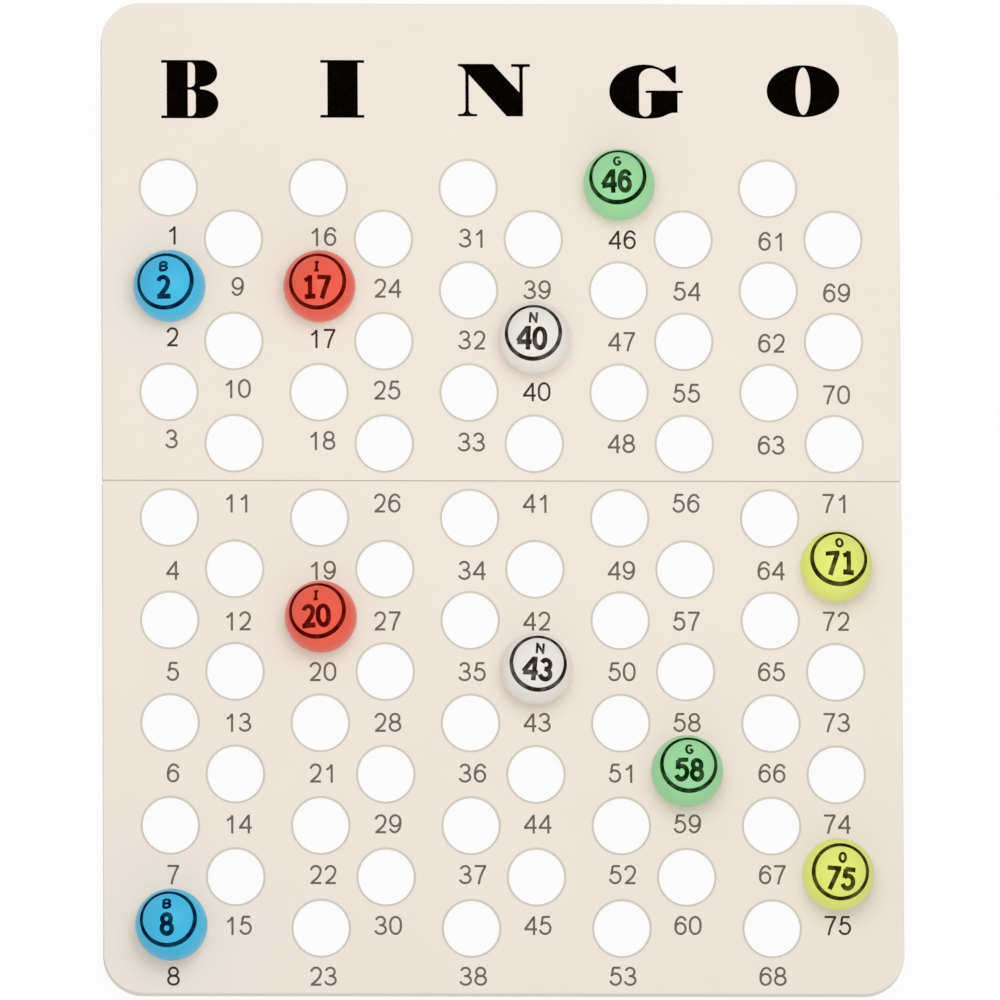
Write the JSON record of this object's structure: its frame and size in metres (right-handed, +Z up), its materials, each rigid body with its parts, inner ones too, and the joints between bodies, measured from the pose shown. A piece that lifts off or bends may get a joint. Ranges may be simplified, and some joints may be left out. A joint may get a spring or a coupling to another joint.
{
  "type": "bingo master board",
  "caption": "Folding board for called bingo numbers: two hinged tray panels with columns of numbered round seats, and loose numbered balls standing in some of them.",
  "frame": {"origin": "on the table, under the middle of the open board's outline", "axes": "+X to the right along a row, +Y up the board to its header, +Z up out of the printed face"},
  "size_m": [0.42, 0.5268, 0.0452],
  "materials": {
    "panel": "satin cream moulding",
    "rubber": "matte",
    "steel": "drawn wire",
    "ball_blue": "satin, printed",
    "ball_red": "satin, printed",
    "ball_white": "satin, printed",
    "ball_green": "satin, printed",
    "ball_yellow": "satin, printed"
  },
  "bodies": {
    "lower_board": {"lower_panel": "panel", "hinge_pin_left": "steel", "hinge_pin_middle": "steel", "hinge_pin_right": "steel", "foot_lower_far_left": "rubber", "foot_lower_far_right": "rubber", "foot_lower_seam_left": "rubber", "foot_lower_seam_right": "rubber"},
    "upper_board": {"upper_panel": "panel", "foot_upper_far_left": "rubber", "foot_upper_far_right": "rubber", "foot_upper_seam_left": "rubber", "foot_upper_seam_right": "rubber"},
    "ball_b2": {"ball_b2": "ball_blue"},
    "ball_b8": {"ball_b8": "ball_blue"},
    "ball_i17": {"ball_i17": "ball_red"},
    "ball_i20": {"ball_i20": "ball_red"},
    "ball_n40": {"ball_n40": "ball_white"},
    "ball_n43": {"ball_n43": "ball_white"},
    "ball_g46": {"ball_g46": "ball_green"},
    "ball_g58": {"ball_g58": "ball_green"},
    "ball_o71": {"ball_o71": "ball_yellow"},
    "ball_o75": {"ball_o75": "ball_yellow"}
  },
  "joints": [
    {"name": "fold", "type": "hinge", "parent": "lower_board", "child": "upper_board", "pos_m": [0, 0.00895, 0.0033], "axis": [-1, 0, 0], "range_deg": [0, 180]},
    {"name": "lift_b2", "type": "slide", "parent": "upper_board", "child": "ball_b2", "axis": [0, 0, 1], "range_m": [0, 0.05]},
    {"name": "lift_b8", "type": "slide", "parent": "lower_board", "child": "ball_b8", "axis": [0, 0, 1], "range_m": [0, 0.05]},
    {"name": "lift_i17", "type": "slide", "parent": "upper_board", "child": "ball_i17", "axis": [0, 0, 1], "range_m": [0, 0.05]},
    {"name": "lift_i20", "type": "slide", "parent": "lower_board", "child": "ball_i20", "axis": [0, 0, 1], "range_m": [0, 0.05]},
    {"name": "lift_n40", "type": "slide", "parent": "upper_board", "child": "ball_n40", "axis": [0, 0, 1], "range_m": [0, 0.05]},
    {"name": "lift_n43", "type": "slide", "parent": "lower_board", "child": "ball_n43", "axis": [0, 0, 1], "range_m": [0, 0.05]},
    {"name": "lift_g46", "type": "slide", "parent": "upper_board", "child": "ball_g46", "axis": [0, 0, 1], "range_m": [0, 0.05]},
    {"name": "lift_g58", "type": "slide", "parent": "lower_board", "child": "ball_g58", "axis": [0, 0, 1], "range_m": [0, 0.05]},
    {"name": "lift_o71", "type": "slide", "parent": "lower_board", "child": "ball_o71", "axis": [0, 0, 1], "range_m": [0, 0.05]},
    {"name": "lift_o75", "type": "slide", "parent": "lower_board", "child": "ball_o75", "axis": [0, 0, 1], "range_m": [0, 0.05]}
  ]
}
